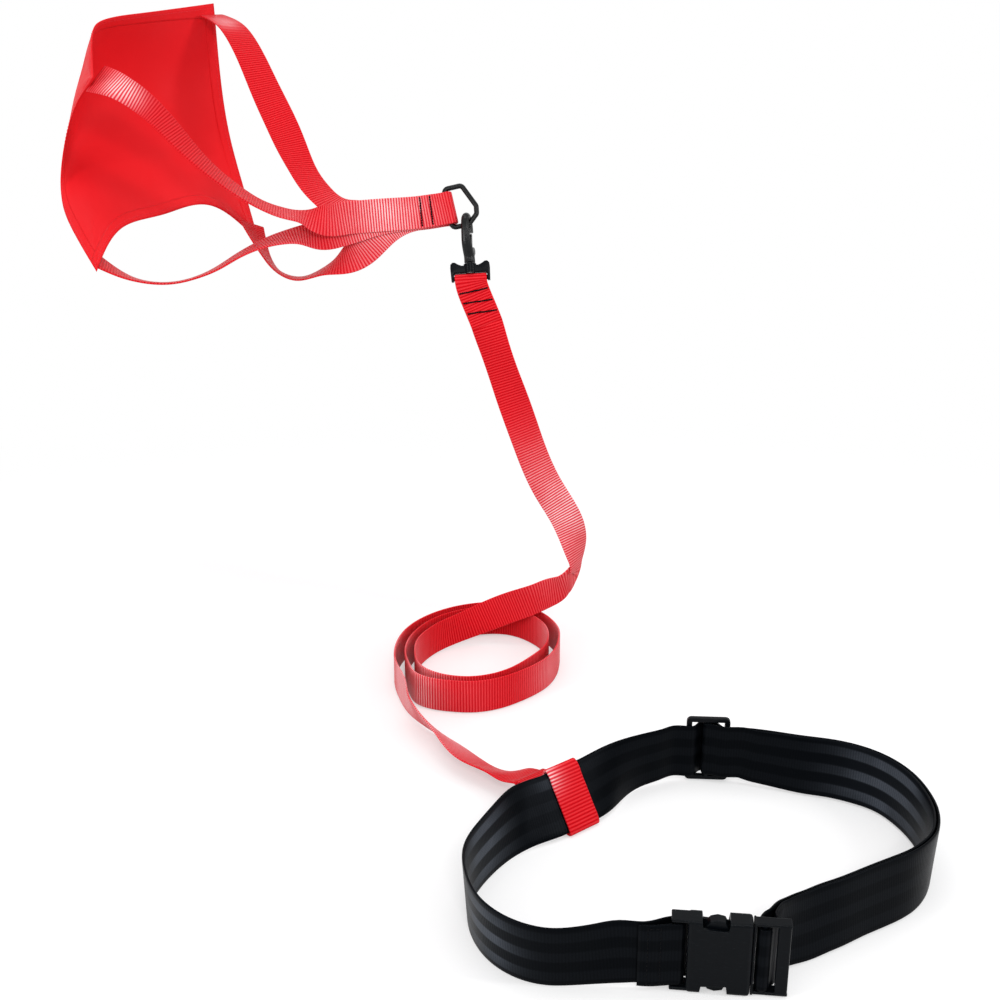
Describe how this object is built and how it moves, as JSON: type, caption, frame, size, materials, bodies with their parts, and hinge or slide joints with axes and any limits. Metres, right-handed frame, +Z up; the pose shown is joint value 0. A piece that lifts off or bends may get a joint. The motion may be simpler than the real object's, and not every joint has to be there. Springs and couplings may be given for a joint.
{
  "type": "swim parachute",
  "caption": "Swim resistance parachute: waist belt with a side release buckle, a webbing tether with a snap hook, and a small square cloth parachute on bridle straps.",
  "frame": {"origin": "middle of the object's footprint, on the floor that the belt stands on", "axes": "+X to the right as seen from the buckle side, +Y from the buckle towards the back of the belt, +Z up"},
  "size_m": [0.5936, 0.6392, 0.4991],
  "materials": {
    "belt_strap": "tight woven black webbing",
    "belt_adjuster_strap": "tight woven black webbing",
    "belt_plug_turn": "tight woven black webbing",
    "buckle_socket": "moulded black acetal, satin",
    "buckle_plug": "moulded black acetal, satin",
    "latch_arm_upper": "moulded black acetal, satin",
    "latch_arm_lower": "moulded black acetal, satin",
    "slider": "moulded black acetal, satin",
    "tether_belt_loop": "ribbed red webbing",
    "tether_strap": "ribbed red webbing",
    "tether_hook_fold": "ribbed red webbing with black stitching",
    "swivel_eye": "moulded black plastic",
    "hook_body": "black coated die cast metal",
    "hook_gate": "black coated metal",
    "d_ring": "black coated wire",
    "bridle_strap_upper": "ribbed red webbing",
    "bridle_strap_lower": "ribbed red webbing",
    "canopy": "coated red nylon cloth",
    "canopy_hem_top": "coated red nylon cloth, folded and stitched",
    "canopy_hem_bottom": "coated red nylon cloth, folded and stitched",
    "canopy_hem_near": "coated red nylon cloth, folded and stitched",
    "canopy_hem_far": "coated red nylon cloth, folded and stitched"
  },
  "bodies": {
    "belt": {"belt_strap": "belt_strap", "belt_adjuster_strap": "belt_adjuster_strap", "buckle_socket": "buckle_socket"},
    "slider": {"slider": "slider"},
    "plug": {"buckle_plug": "buckle_plug", "belt_plug_turn": "belt_plug_turn"},
    "latch_upper": {"latch_arm_upper": "latch_arm_upper"},
    "latch_lower": {"latch_arm_lower": "latch_arm_lower"},
    "tether": {"tether_belt_loop": "tether_belt_loop", "tether_strap": "tether_strap", "tether_hook_fold": "tether_hook_fold", "swivel_eye": "swivel_eye"},
    "hook": {"hook_body": "hook_body"},
    "gate": {"hook_gate": "hook_gate"},
    "ring": {"d_ring": "d_ring"},
    "bridle": {"bridle_strap_upper": "bridle_strap_upper", "bridle_strap_lower": "bridle_strap_lower", "canopy": "canopy", "canopy_hem_top": "canopy_hem_top", "canopy_hem_bottom": "canopy_hem_bottom", "canopy_hem_near": "canopy_hem_near", "canopy_hem_far": "canopy_hem_far"}
  },
  "joints": [
    {"name": "slider_along_belt", "type": "hinge", "parent": "belt", "child": "slider", "pos_m": [0.172, -0.224, 0.023], "axis": [0, 0, 1], "range_deg": [-8, 8], "deforming": ["belt_strap", "belt_adjuster_strap"]},
    {"name": "plug_slide", "type": "slide", "parent": "belt", "child": "plug", "axis": [0.9925, -0.1219, 0], "range_m": [0, 0.036], "deforming": ["belt_strap", "belt_adjuster_strap", "latch_arm_upper", "latch_arm_lower"]},
    {"name": "latch_upper_press", "type": "hinge", "parent": "plug", "child": "latch_upper", "pos_m": [0.16221, -0.31227, 0.03635], "axis": [0.1214, 0.9888, 0.0872], "range_deg": [-10, 0], "stiffness_Nm_per_rad": 0.3},
    {"name": "latch_lower_press", "type": "hinge", "parent": "plug", "child": "latch_lower", "pos_m": [0.16251, -0.30985, 0.00845], "axis": [0.1214, 0.9888, 0.0872], "range_deg": [0, 10], "stiffness_Nm_per_rad": 0.3},
    {"name": "loop_along_belt", "type": "hinge", "parent": "belt", "child": "tether", "pos_m": [0.146, -0.213, 0.023], "axis": [0, 0, 1], "range_deg": [-3, 3], "deforming": ["belt_strap"]},
    {"name": "hook_swivel", "type": "hinge", "parent": "tether", "child": "hook", "pos_m": [0.0187, 0.178, 0.2996], "axis": [-0.068, 0.295, 0.9531], "continuous": true},
    {"name": "gate_pin", "type": "hinge", "parent": "hook", "child": "gate", "pos_m": [0.01879, 0.18607, 0.31117], "axis": [0.9713, -0.1987, 0.1308], "range_deg": [0, 20], "stiffness_Nm_per_rad": 0.05},
    {"name": "ring_in_crook", "type": "hinge", "parent": "hook", "child": "ring", "pos_m": [0.01642, 0.18811, 0.3325], "axis": [0.8305, 0.1644, 0.5322], "range_deg": [-12, 12]},
    {"name": "bridle_on_ring", "type": "hinge", "parent": "ring", "child": "bridle", "pos_m": [0.0015, 0.1915, 0.3435], "axis": [0.224, -0.288, -0.9311], "range_deg": [-20, 20]}
  ]
}
